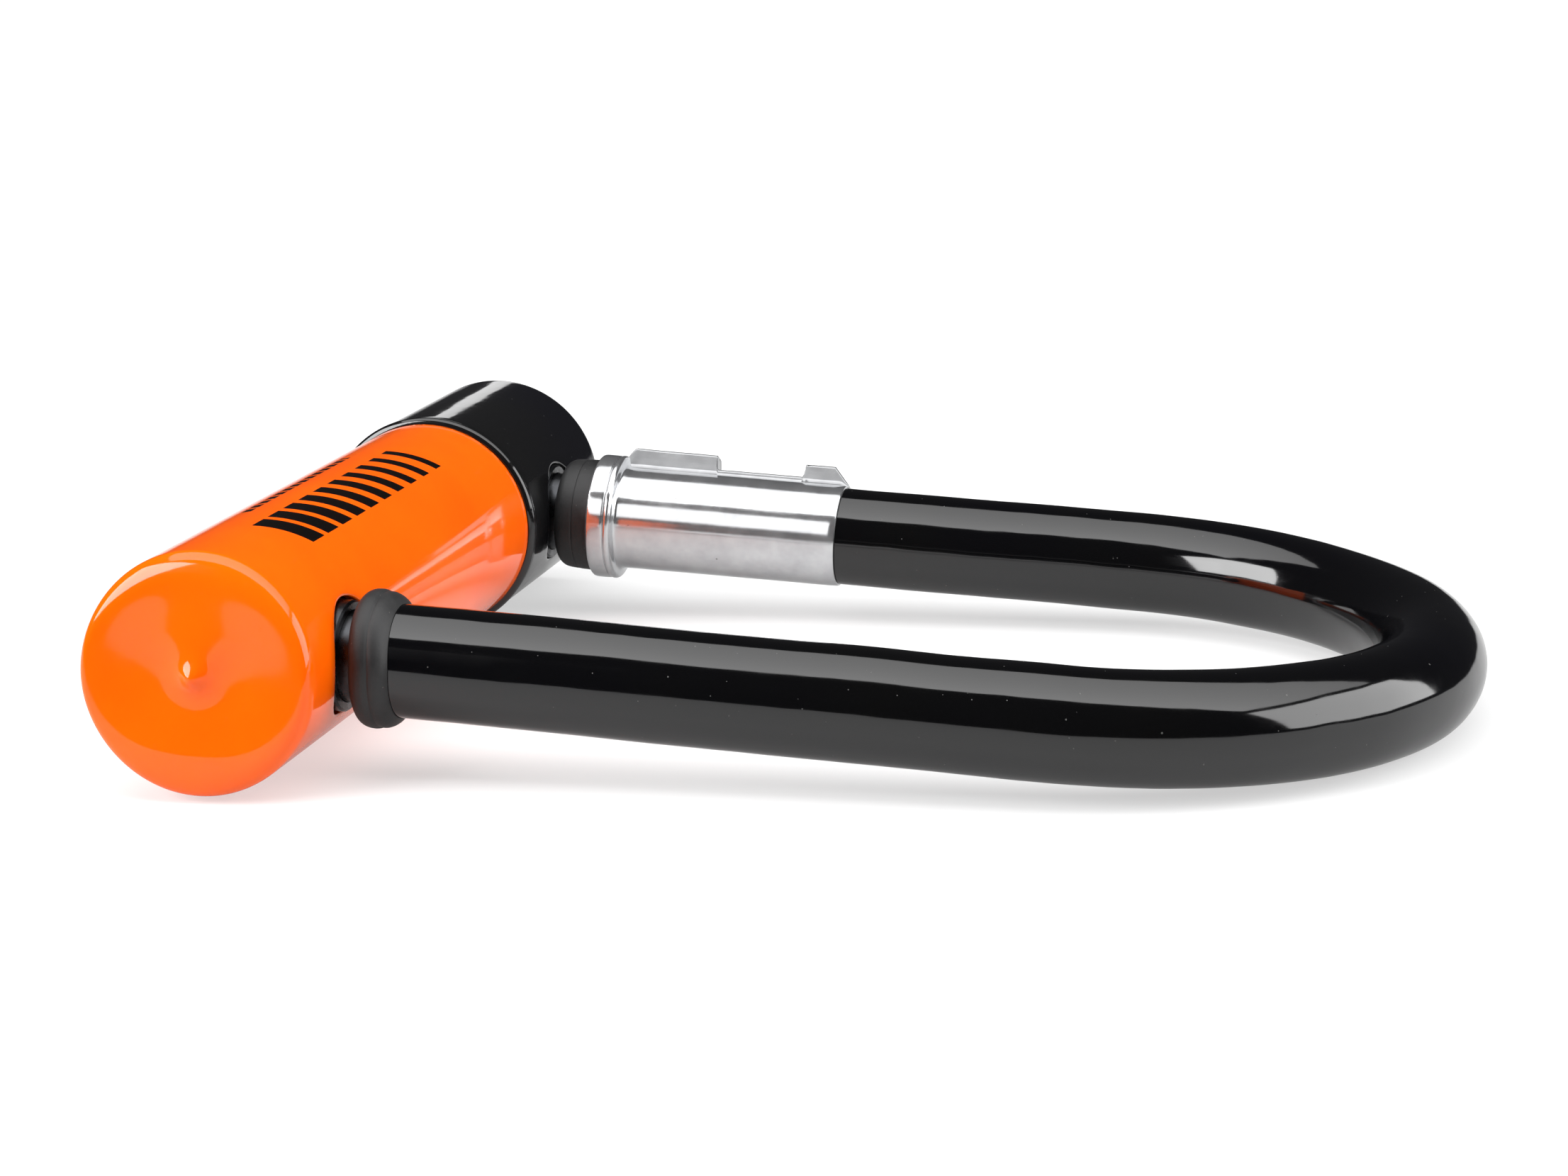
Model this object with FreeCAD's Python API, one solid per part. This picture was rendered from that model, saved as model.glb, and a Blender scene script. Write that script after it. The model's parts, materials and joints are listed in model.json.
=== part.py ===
"""A short bicycle U lock: a covered steel shackle whose two feet plug into a round crossbar.

Frame, in millimetres: the origin is on the crossbar's axis, midway between the shackle's feet. +X runs along the
shackle's legs to its bend, +Y along the crossbar to its lock end, and +Z stands square to the shackle's plane.
At rest the shackle is home and both deadbolts are drawn back, which is the unlocked state.
"""

import FreeCAD, Part

import math
import os

V = FreeCAD.Vector

# ---- driving dimensions ----------------------------------------------------------------------------------------
LEG_SPACING = 100.0  # between the axes of the shackle's two legs
SHACKLE_REACH = 164.0  # crossbar axis to the bend's centre line
STEEL_R = 6.5  # 13 mm shackle bar
COVER_R = 8.0  # vinyl cover over the shackle
LEG_Y = LEG_SPACING / 2
BEND_R = LEG_SPACING / 2
BEND_X = SHACKLE_REACH - BEND_R  # where the straight legs end
FOOT_TIP_X = 2.0
FREE = 0.1  # gap round a piece that slides
SEAT = 0.05  # gap round a piece that is fixed

# crossbar
TUBE_R = 15.5
TUBE_BORE_R = 12.5
SLEEVE_R = 17.0  # orange dipped sleeve
LOCK_SLEEVE_R = 17.7  # black sleeve on the lock end
CLOSED_END_Y = -68.4
LOCK_END_Y = 73.2
SLEEVE_JOINT_Y = 32.0
SKIN = 1.8  # thickness of the orange sleeve's end wall
LOCK_WALL = 1.6  # thickness of the black sleeve's end wall
SLEEVE_BORE_R = TUBE_R + SEAT
RIM_R = 2.5  # rounding of both sleeves' end rims
TUBE_START_Y = CLOSED_END_Y + SKIN + SEAT
TUBE_END_Y = 68.0
OPENING_R = 8.3  # the closed-end sleeve's opening round the shackle's foot
LOCK_OPENING_R = 8.0  # the lock-end sleeve's
COLLAR_R = 7.9
INSERT_R = TUBE_BORE_R - SEAT  # blocks and guide inside the tube

# lock cylinder, which lies below the tips of the feet
CORE_X = -5.2
HOUSING_R = 6.4
HOUSING_Y = (39.5, 66.0)
CORE_Y = (42.1, 65.7)
CORE_R = 4.95
CAGE_R = 4.1  # the core's bore, which holds the discs
DISC_COUNT = 8
DISC_PITCH = 2.25
DISC_THICK = 1.75
SPACER_THICK = 0.4
FIRST_DISC_Y = 44.3
DISC_R = CAGE_R - FREE
KEYWAY_R = 3.3

# drive drum and deadbolts
BOLT_TRAVEL = 5.0  # for a quarter turn of the core
BOLT_X = (5.2, 10.6)
BOLT_HALF_Z = 4.0
FAR_BOLT_Y = (26.0, 43.0)
NEAR_BOLT_Y = (-43.0, 24.0)
FAR_PIN_Y = 30.0
NEAR_PIN_Y = 20.0
PIN_R = 1.5
DRUM_R = 6.0
DRUM_Y = (12.5, 38.2)
GROOVE_FLOOR_R = 3.4
GROOVE_HALF = PIN_R + 0.25
TAIL_R = 2.2
TAIL_FLAT = 1.6  # the tail's D flat, from its axis
NOTCH_DEPTH = 4.9

# retaining pins
ROLL_PIN_R = 1.25
ROLL_PIN_LENGTH = 24.0

# dust cover
FACE_PLATE_Y = (66.1, TUBE_END_Y)
TRACK_Y = (68.1, LOCK_END_Y - LOCK_WALL - SEAT)
COVER_PLATE = 1.3
COVER_X = (-11.4, -0.2)
COVER_HALF_Z = 5.5
COVER_TRAVEL = 10.0
THUMB_X = (-10.4, -1.4)
THUMB_HALF_Z = 3.9

# pieces on the shackle's legs, along X
NEAR_BOOT_X = (18.6, 24.7)
FAR_BOOT_X = (18.2, 27.5)
BOOT_R = 9.8
FLANGE_X = (24.2, 28.4)
FLANGE_R = 10.25
BAND_END_X = 66.1
BAND_R = 8.4
SHEET = 1.8  # thickness of the carrier band's steel
LIP_LEAN = 28.0  # degrees that the lips lean from upright, away from the closed end
LIP_Z = 9.3  # heights along the lips, from the leg's axis
FRONT_TAB = (28.4, 43.5, 11.5)  # start, end, height
REAR_TAB = (58.1, 63.5, 11.3)
RAIL_TOE_X = 68.2
RAIL_TOE_Z = 8.35


# ---- helpers ---------------------------------------------------------------------------------------------------
DIRECTIONS = {"x": V(1, 0, 0), "y": V(0, 1, 0), "z": V(0, 0, 1)}


def along(axis, distance, side_a, side_b):
    """A point at distance along the named axis; the sides are the other two coordinates, in X, Y, Z order."""
    coordinates = [side_a, side_b]
    coordinates.insert("xyz".index(axis), distance)
    return V(*coordinates)


def rod(axis, radius, span, side_a=0.0, side_b=0.0):
    """A cylinder along an axis, from span[0] to span[1]."""
    start = along(axis, span[0], side_a, side_b)
    return Part.makeCylinder(radius, span[1] - span[0], start, DIRECTIONS[axis])


def block(x, y, z):
    """A box between two values on each axis."""
    return Part.makeBox(x[1] - x[0], y[1] - y[0], z[1] - z[0], V(x[0], y[0], z[0]))


def both(half):
    return (-half, half)


def outline(start, *steps):
    """A closed wire. A step is a point, for a straight side, or a pair (middle, end), for an arc."""
    edges = []
    here = V(*start)
    for step in steps + (start,):
        if isinstance(step[0], tuple):
            middle, end = V(*step[0]), V(*step[1])
            edges.append(Part.Arc(here, middle, end).toShape())
        else:
            end = V(*step)
            if end.distanceToPoint(here) > 1e-6:
                edges.append(Part.LineSegment(here, end).toShape())
        here = end
    return Part.Wire(edges)


def turned(axis, start, *steps):
    """A solid of revolution about the crossbar's axis ("y") or a line parallel to X through the origin ("x").
    Outline points are (radius, distance along the axis)."""

    def place(point):
        radius, distance = point
        return (radius, distance, 0) if axis == "y" else (distance, 0, radius)

    def place_step(step):
        return tuple(map(place, step)) if isinstance(step[0], tuple) else place(step)

    wire = outline(place(start), *[place_step(step) for step in steps])
    return Part.Face(wire).revolve(V(0, 0, 0), DIRECTIONS[axis], 360)


def corner(radius, centre, quadrant):
    """Middle and end of a quarter arc about centre, as (radius, distance) points, from angle quadrant to +90 degrees."""
    angles = (math.radians(quadrant + 45), math.radians(quadrant + 90))
    return tuple((centre[0] + radius * math.cos(a), centre[1] + radius * math.sin(a)) for a in angles)


def moved(shape, x=0.0, y=0.0, z=0.0):
    copy = shape.copy()
    copy.translate(V(x, y, z))
    return copy


def opening_edges(shape, leg_y, radius, outer_r):
    """Edges where a foot opening of that radius meets the sleeve's outer wall."""
    found = []
    for edge in shape.Edges:
        if edge.Degenerated:
            continue
        points = edge.discretize(12)
        on_opening = all(abs(math.hypot(p.y - leg_y, p.z) - radius) < 0.02 for p in points)
        on_wall = all(abs(math.hypot(p.x, p.z) - outer_r) < 0.02 for p in points)
        if on_opening and on_wall and points[0].x > 0:
            found.append(edge)
    return found


# ---- crossbar --------------------------------------------------------------------------------------------------
def roll_pin_places():
    """(x, y) of each cross pin: closed-end foot block, bolt guide and lock-end foot block."""
    return [(-8.0, -58.0), (2.9, -10.0), (7.0, 60.0)]


def roll_pin_holes():
    holes = [rod("z", ROLL_PIN_R + SEAT, both(TUBE_R + 1), x, y) for x, y in roll_pin_places()]
    return holes[0].multiFuse(holes[1:])


def housing_pin_hole():
    return rod("x", ROLL_PIN_R + SEAT, (-TUBE_R - 1, -10.35), 58.0, 0.0)


def crossbar_tube():
    tube = rod("y", TUBE_R, (TUBE_START_Y, TUBE_END_Y))
    tube = tube.cut(rod("y", TUBE_BORE_R, (TUBE_START_Y - 1, TUBE_END_Y + 1)))
    for leg in (-LEG_Y, LEG_Y):
        tube = tube.cut(rod("x", COLLAR_R + SEAT, (0, TUBE_R + 1), leg, 0))
    return tube.cut(roll_pin_holes()).cut(housing_pin_hole())


def crossbar_sleeve():
    """Dipped vinyl sleeve with a closed, slightly dished end and the small drip nub that dipping leaves."""
    dish_y = CLOSED_END_Y + 0.4
    nub_tip = (0.0, CLOSED_END_Y - 1.2)
    body = turned(
        "y",
        nub_tip,
        ((1.1, nub_tip[1] + 0.25), (1.8, nub_tip[1] + 0.8)),
        ((2.6, dish_y - 0.25), (4.2, dish_y)),
        ((9.5, dish_y - 0.15), (SLEEVE_R - RIM_R, CLOSED_END_Y)),
        corner(RIM_R, (SLEEVE_R - RIM_R, CLOSED_END_Y + RIM_R), -90),
        (SLEEVE_R, SLEEVE_JOINT_Y - 0.45),
        ((SLEEVE_R - 0.12, SLEEVE_JOINT_Y - 0.18), (SLEEVE_R - 0.4, SLEEVE_JOINT_Y - SEAT)),
        (SLEEVE_BORE_R, SLEEVE_JOINT_Y - SEAT),
        (SLEEVE_BORE_R, CLOSED_END_Y + SKIN),
        (0.0, CLOSED_END_Y + SKIN),
    )
    body = body.cut(rod("x", OPENING_R, (0, SLEEVE_R + 1), -LEG_Y, 0))
    return body.makeFillet(0.5, opening_edges(body, -LEG_Y, OPENING_R, SLEEVE_R))


def lock_end_sleeve():
    """Black moulded sleeve over the lock end: a rolled bead where it meets the orange sleeve, a foot opening, and an
    end wall with the dust cover's window."""
    start = SLEEVE_JOINT_Y + SEAT
    bead = 0.9
    body = turned(
        "y",
        (SLEEVE_BORE_R, start),
        (LOCK_SLEEVE_R - bead + 0.2, start),
        ((LOCK_SLEEVE_R + 0.2, start + bead), (LOCK_SLEEVE_R - 0.12, start + 1.7 * bead)),
        (LOCK_SLEEVE_R, start + 2.1 * bead),
        (LOCK_SLEEVE_R, LOCK_END_Y - RIM_R),
        corner(RIM_R, (LOCK_SLEEVE_R - RIM_R, LOCK_END_Y - RIM_R), 0),
        (0.0, LOCK_END_Y),
        (0.0, LOCK_END_Y - LOCK_WALL),
        (SLEEVE_BORE_R, LOCK_END_Y - LOCK_WALL),
    )
    body = body.cut(rod("x", LOCK_OPENING_R, (0, LOCK_SLEEVE_R + 1), LEG_Y, 0))
    body = body.makeFillet(0.5, opening_edges(body, LEG_Y, LOCK_OPENING_R, LOCK_SLEEVE_R))
    window_x = (THUMB_X[0] - 0.4, THUMB_X[1] + COVER_TRAVEL + 0.4)
    window = block(window_x, (LOCK_END_Y - LOCK_WALL - 1, LOCK_END_Y + 1), both(THUMB_HALF_Z + 0.3))
    corners = [e for e in window.Edges if abs(e.Vertexes[0].Y - e.Vertexes[1].Y) > 1]
    return body.cut(window.makeFillet(1.0, corners))


def end_plug():
    plug = rod("y", INSERT_R, (TUBE_START_Y, TUBE_START_Y + 4))
    return plug.makeChamfer(0.5, [e for e in plug.Edges if e.Closed])


def foot_collars():
    """Hardened collars that line the tube's two foot holes and stop the shackle from turning in them."""
    rings = []
    for leg in (-LEG_Y, LEG_Y):
        ring = rod("x", COLLAR_R, (12.7, 16.2), leg, 0)
        ring = ring.makeChamfer(0.3, [e for e in ring.Edges if e.Closed and e.CenterOfMass.x > 16])
        rings.append(ring.cut(rod("x", STEEL_R + FREE, (12, 17), leg, 0)))
    return Part.Compound(rings)


def bolt_channel(y):
    """The space one bolt slides in, over a stretch of Y."""
    return block((BOLT_X[0] - FREE, BOLT_X[1] + FREE), y, both(BOLT_HALF_Z + FREE))


def near_foot_block():
    body = rod("y", INSERT_R, (-61.5, -LEG_Y + 10))
    body = body.cut(rod("x", STEEL_R + FREE, (FOOT_TIP_X - 0.4, TUBE_R), -LEG_Y, 0))
    return body.cut(bolt_channel((-LEG_Y + 3, -LEG_Y + 11))).cut(roll_pin_holes())


def far_foot_block():
    body = rod("y", INSERT_R, (LEG_Y - 9, 63.5))
    body = body.cut(rod("y", HOUSING_R + SEAT, (LEG_Y - 10, 64.5), CORE_X, 0))
    body = body.cut(rod("x", STEEL_R + FREE, (0, TUBE_R), LEG_Y, 0))
    body = body.cut(bolt_channel((LEG_Y - 10, LEG_Y - 3)))
    return body.cut(roll_pin_holes()).cut(housing_pin_hole())


def bolt_guide():
    """D-section guide between the foot blocks, with the bolts' channel and a slot for their follower pins."""
    length = (-LEG_Y + 10.1, LEG_Y - 9.1)
    body = rod("y", INSERT_R, length).common(block((1.4, TUBE_R), length, both(TUBE_R)))
    body = body.cut(bolt_channel((length[0] - 1, length[1] + 1)))
    slot = block((0, BOLT_X[0] + 1), (DRUM_Y[0] + 0.5, DRUM_Y[1] - 1), both(PIN_R + 0.2))
    return body.cut(slot).cut(roll_pin_holes())


def roll_pins():
    pins = []
    for x, y in roll_pin_places():
        pin = rod("z", ROLL_PIN_R, both(ROLL_PIN_LENGTH / 2), x, y)
        pin = pin.makeChamfer(0.3, [e for e in pin.Edges if e.Closed])
        bore = rod("z", ROLL_PIN_R - 0.5, both(ROLL_PIN_LENGTH), x, y)
        split = block((x, x + ROLL_PIN_R + 1), (y - 0.2, y + 0.2), both(ROLL_PIN_LENGTH))
        pins.append(pin.cut(bore).cut(split))
    return Part.Compound(pins)


def housing_pin():
    pin = rod("x", ROLL_PIN_R, (-TUBE_R + 0.1, -10.4), 58.0, 0.0)
    return pin.makeChamfer(0.3, [e for e in pin.Edges if e.Closed])


def face_plate():
    plate = rod("y", INSERT_R, FACE_PLATE_Y)
    return plate.cut(rod("y", KEYWAY_R, (FACE_PLATE_Y[0] - 1, FACE_PLATE_Y[1] + 1), CORE_X, 0))


def dust_cover_track():
    """Moulded disc over the tube's end, with the keyway's opening and the pocket that the dust cover slides in."""
    disc = rod("y", TUBE_R, TRACK_Y)
    disc = disc.cut(rod("y", KEYWAY_R + 0.4, (TRACK_Y[0] - 1, TRACK_Y[1] + 1), CORE_X, 0))
    pocket_x = (COVER_X[0] - 0.2, COVER_X[1] + COVER_TRAVEL + 0.3)
    pocket_floor = TRACK_Y[1] - COVER_PLATE - 0.1
    return disc.cut(block(pocket_x, (pocket_floor, TRACK_Y[1] + 1), both(COVER_HALF_Z + 0.2)))


def dust_cover():
    """Sliding plate over the keyway, with a ribbed thumb pad that stands in the end wall's window."""
    top = TRACK_Y[1]
    plate = block(COVER_X, (top - COVER_PLATE, top - 0.02), both(COVER_HALF_Z))
    pad = block(THUMB_X, (top - 0.5, top + 0.55), both(THUMB_HALF_Z))
    ribs = [
        block((x, x + 0.9), (top, top + 1.25), both(THUMB_HALF_Z))
        for x in (THUMB_X[0] + 0.9 + 1.8 * i for i in range(4))
    ]
    return plate.multiFuse([pad] + ribs).removeSplitter()


# ---- lock cylinder ---------------------------------------------------------------------------------------------
def cylinder_housing():
    body = rod("y", HOUSING_R, HOUSING_Y, CORE_X, 0)
    body = body.cut(rod("y", CORE_R + SEAT, (CORE_Y[0] - 0.1, HOUSING_Y[1] + 1), CORE_X, 0))
    body = body.cut(rod("y", TAIL_R + 0.8, (HOUSING_Y[0] - 1, CORE_Y[0] + 1), CORE_X, 0))
    groove = block((CORE_X + CORE_R - 0.5, CORE_X + CORE_R + 0.9), sidebar_span(0.5), both(0.95))
    pin_hole = rod("x", ROLL_PIN_R + SEAT, (-TUBE_R, -10.35), 58.0, 0.0)
    return body.cut(groove).cut(pin_hole)


def sidebar_span(spare):
    """Where the sidebar lies along Y, with spare length at each end."""
    return (FIRST_DISC_Y + 0.4 - spare, FIRST_DISC_Y + DISC_COUNT * DISC_PITCH + 0.4 + spare)


def core():
    """The turning barrel: a cage for the discs, with the sidebar's slot and a D-shaped tail that drives the drum."""
    body = rod("y", CORE_R, CORE_Y, CORE_X, 0)
    body = body.cut(rod("y", CAGE_R, (FIRST_DISC_Y - 0.2, CORE_Y[1] + 1), CORE_X, 0))
    slot = block((CORE_X - 0.85, CORE_X + 0.85), sidebar_span(0.1), (CAGE_R - 1, CORE_R + 1))
    neck = rod("y", TAIL_R + 0.7, (HOUSING_Y[0] - 0.9, CORE_Y[0] + 0.1), CORE_X, 0)
    groove = rod("y", TAIL_R + 1, (HOUSING_Y[0] - 0.75, HOUSING_Y[0] - 0.1), CORE_X, 0)
    groove = groove.cut(rod("y", TAIL_R, (HOUSING_Y[0] - 1, HOUSING_Y[0]), CORE_X, 0))
    tail = rod("y", TAIL_R, (22.0, HOUSING_Y[0]), CORE_X, 0)
    flat = block((CORE_X + TAIL_FLAT, CORE_X + TAIL_R + 1), (21, DRUM_Y[1] + FREE), both(TAIL_R + 1))
    body = body.cut(slot).fuse(neck.cut(groove)).fuse(tail.cut(flat))
    return body.cut(drum_pin_shape(SEAT)).removeSplitter()


def core_clip():
    """Open retaining ring in the tail's groove, behind the housing."""
    y = (HOUSING_Y[0] - 0.7, HOUSING_Y[0] - 0.15)
    ring = rod("y", 4.4, y, CORE_X, 0).cut(rod("y", TAIL_R + 0.02, (y[0] - 1, y[1] + 1), CORE_X, 0))
    return ring.cut(block((CORE_X - 1.5, CORE_X + 1.5), (y[0] - 1, y[1] + 1), (-6, -1)))


def disc_start(index):
    return FIRST_DISC_Y + index * DISC_PITCH


def disc(radius, y, hole):
    """A disc on the core's axis, with the sidebar's gate at its top edge and a central hole."""
    gate = block((CORE_X - 0.9, CORE_X + 0.9), (y[0] - 1, y[1] + 1), (radius - 0.95, radius + 1))
    return rod("y", radius, y, CORE_X, 0).cut(gate).cut(hole)


def key_slot():
    return block((CORE_X - 2.8, CORE_X + 2.8), (FIRST_DISC_Y - 1, CORE_Y[1]), both(0.85))


def code_discs():
    """Each disc has its true gate under the sidebar and one shallow false gate at its own angle."""
    discs = []
    for index in range(DISC_COUNT):
        start = disc_start(index)
        y = (start, start + DISC_THICK)
        body = disc(DISC_R, y, key_slot())
        false_gate = block((CORE_X - 0.6, CORE_X + 0.6), (y[0] - 1, y[1] + 1), (DISC_R - 0.5, DISC_R + 1))
        angle = 40 + 35 * (index * 3 % DISC_COUNT)
        false_gate.rotate(V(CORE_X, 0, 0), V(0, 1, 0), angle)
        discs.append(body.cut(false_gate))
    return Part.Compound(discs)


def disc_spacers():
    spacers = []
    for index in range(DISC_COUNT - 1):
        start = disc_start(index) + DISC_THICK + 0.05
        y = (start, start + SPACER_THICK)
        spacers.append(disc(DISC_R, y, rod("y", 3.0, (y[0] - 1, y[1] + 1), CORE_X, 0)))
    return Part.Compound(spacers)


def sidebar():
    bar = block((CORE_X - 0.75, CORE_X + 0.75), sidebar_span(0), (DISC_R - 0.85, CORE_R - 0.1))
    top = [e for e in bar.Edges if e.CenterOfMass.z > CORE_R - 0.2 and e.Length > 5]
    return bar.makeChamfer(0.4, top)


def drill_guard_disc():
    start = sidebar_span(0.1)[1] + 0.1
    return rod("y", DISC_R, (start, CORE_Y[1] - 0.2), CORE_X, 0).cut(key_slot())


# ---- drive drum and bolts --------------------------------------------------------------------------------------
def helical_groove():
    """Cutter for the closed-end bolt's groove: 90 degrees of right-hand helix about the drum's axis, which carries
    the follower from the bolt's locked place to its rest place, with round ends."""
    middle_r = (GROOVE_FLOOR_R + DRUM_R) / 2
    start_y = NEAR_PIN_Y - BOLT_TRAVEL
    path = Part.makeHelix(4 * BOLT_TRAVEL, BOLT_TRAVEL, middle_r)
    lead = math.atan2(BOLT_TRAVEL, middle_r * math.pi / 2)
    across = V(0, -math.sin(lead), math.cos(lead)) * GROOVE_HALF
    inner, outer = V(GROOVE_FLOOR_R, 0, 0), V(DRUM_R + 1, 0, 0)
    profile = Part.makePolygon([inner - across, outer - across, outer + across, inner + across, inner - across])
    cutter = Part.Wire(path.Edges).makePipeShell([profile], True, True)
    for turn, rise in ((0, 0.0), (90, BOLT_TRAVEL)):
        end = rod("x", GROOVE_HALF, (GROOVE_FLOOR_R, DRUM_R + 1), 0, rise)
        end.rotate(V(0, 0, 0), V(0, 0, 1), turn)
        cutter = cutter.fuse(end)
    cutter.rotate(V(0, 0, 0), V(1, 0, 0), -90)
    cutter.rotate(V(0, 0, 0), V(0, 1, 0), -90)
    return moved(cutter, CORE_X, start_y)


def drive_drum():
    """Drum with a left-hand and a right-hand groove, so that one turn drives the two bolts apart."""
    body = rod("y", DRUM_R, DRUM_Y, CORE_X, 0)
    body = body.makeChamfer(0.5, [e for e in body.Edges if e.Closed])
    groove = helical_groove()
    middle_y = (FAR_PIN_Y + NEAR_PIN_Y) / 2
    body = body.cut(groove).cut(groove.mirror(V(0, middle_y, 0), V(0, 1, 0)))
    socket = rod("y", TAIL_R + SEAT, (21.8, DRUM_Y[1] + 1), CORE_X, 0)
    flat_x = (CORE_X + TAIL_FLAT + SEAT, CORE_X + TAIL_R + 1)
    socket = socket.cut(block(flat_x, (21, DRUM_Y[1] + 2), both(TAIL_R + 1)))
    return body.cut(socket).cut(drum_pin_shape(SEAT))


def drum_pin_shape(spare=0.0):
    middle_y = (FAR_PIN_Y + NEAR_PIN_Y) / 2
    return rod("z", 1.0 + spare, both(DRUM_R - 0.3 + 2 * spare), CORE_X, middle_y)


def drum_pin():
    return drum_pin_shape()


def bolt(y, nose_y, pin_y):
    """A square deadbolt with a chamfered nose and a hole for its follower pin."""
    body = block(BOLT_X, y, both(BOLT_HALF_Z))
    nose = [e for e in body.Edges if abs(e.CenterOfMass.y - nose_y) < 0.01]
    body = body.makeChamfer(0.8, nose)
    return body.cut(rod("x", PIN_R + SEAT, (BOLT_X[0] - 1, BOLT_X[1] + 1), pin_y, 0))


def far_bolt():
    return bolt(FAR_BOLT_Y, FAR_BOLT_Y[1], FAR_PIN_Y)


def near_bolt():
    return bolt(NEAR_BOLT_Y, NEAR_BOLT_Y[0], NEAR_PIN_Y)


def follower(pin_y):
    pin = rod("x", PIN_R, (CORE_X + GROOVE_FLOOR_R + 0.3, BOLT_X[1] - 0.4), pin_y, 0)
    return pin.makeChamfer(0.3, [e for e in pin.Edges if e.Closed and e.CenterOfMass.x < 0])


# ---- shackle ---------------------------------------------------------------------------------------------------
def u_bar(radius, near_start, far_start):
    """The shackle's U as a round bar of that radius, with each leg starting at its own x."""
    bend = Part.makeTorus(BEND_R, radius, V(BEND_X, 0, 0), V(0, 0, 1))
    bend = bend.common(block((BEND_X, BEND_X + BEND_R + radius + 1), both(BEND_R + radius + 1), both(radius + 1)))
    near_leg = rod("x", radius, (near_start, BEND_X), -LEG_Y, 0)
    far_leg = rod("x", radius, (far_start, BEND_X), LEG_Y, 0)
    return bend.multiFuse([near_leg, far_leg]).removeSplitter()


def shackle():
    """Hardened U bar, with a notch on each foot's inner side for its deadbolt."""
    body = u_bar(STEEL_R, FOOT_TIP_X, FOOT_TIP_X)
    tips = [e for e in body.Edges if e.Closed and abs(e.CenterOfMass.x - FOOT_TIP_X) < 0.01]
    body = body.makeChamfer(0.8, tips)
    notch_x = (BOLT_X[0] - 0.3, BOLT_X[1] + 0.5)
    inner = LEG_Y - STEEL_R
    body = body.cut(block(notch_x, (inner - 1, inner + NOTCH_DEPTH), both(STEEL_R + 1)))
    return body.cut(block(notch_x, (-inner - NOTCH_DEPTH, -inner + 1), both(STEEL_R + 1)))


def shackle_cover():
    outer = u_bar(COVER_R, NEAR_BOOT_X[0] + 1.5, BAND_END_X + 0.1)
    return outer.cut(u_bar(STEEL_R + SEAT, 0, 0))


def near_boot():
    """Soft bumper over the end of the cover: a full round bulge, then a lower collar that rounds down to the leg."""
    start, end = NEAR_BOOT_X
    floor = start + 1.4
    body = turned(
        "x",
        (STEEL_R + SEAT, start),
        (8.0, start),
        ((9.4, start + 0.6), (9.75, start + 1.5)),
        ((BOOT_R, start + 2.3), (9.5, start + 3.2)),
        ((9.55, start + 4.4), (9.1, start + 5.3)),
        ((8.8, start + 5.7), (COVER_R + 0.3, end)),
        (COVER_R + SEAT, end),
        (COVER_R + SEAT, floor),
        (STEEL_R + SEAT, floor),
    )
    return moved(body, 0, -LEG_Y)


def far_boot():
    """The bumper on the other leg, whose outer end is tucked into the carrier band's flange."""
    start, end = FAR_BOOT_X
    body_r = 9.3
    step_x = FLANGE_X[0] - SEAT
    body = turned(
        "x",
        (STEEL_R + SEAT, start),
        (7.9, start),
        ((8.95, start + 0.45), (body_r, start + 1.6)),
        (body_r, step_x),
        (FLANGE_R - SHEET - SEAT, step_x),
        (FLANGE_R - SHEET - SEAT, end),
        (STEEL_R + SEAT, end),
    )
    return moved(body, 0, LEG_Y)


def rail_side():
    """Outline of the band's two lips, drawn upright in the plane y = 0: a front tab, a low ridge, a ramped rear tab."""
    front_start, front_end, front_z = FRONT_TAB
    rear_start, rear_end, rear_z = REAR_TAB
    root = BAND_R - 1.0
    foot = FLANGE_X[1] - 0.8  # where the front tab rises out of the flange
    return outline(
        (foot, 0, root),
        (foot, 0, FLANGE_R - 0.6),
        ((front_start + 0.2, 0, front_z - 0.4), (front_start + 1.6, 0, front_z)),
        (front_end, 0, front_z - 0.1),
        (front_end, 0, LIP_Z),
        (rear_start, 0, LIP_Z),
        (rear_start, 0, rear_z),
        (rear_end, 0, rear_z),
        (RAIL_TOE_X, 0, RAIL_TOE_Z),
        (RAIL_TOE_X - 1.0, 0, COVER_R + 0.1),
        (BAND_END_X - 0.5, 0, COVER_R + 0.1),
        (BAND_END_X - 0.5, 0, root),
    )


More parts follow.
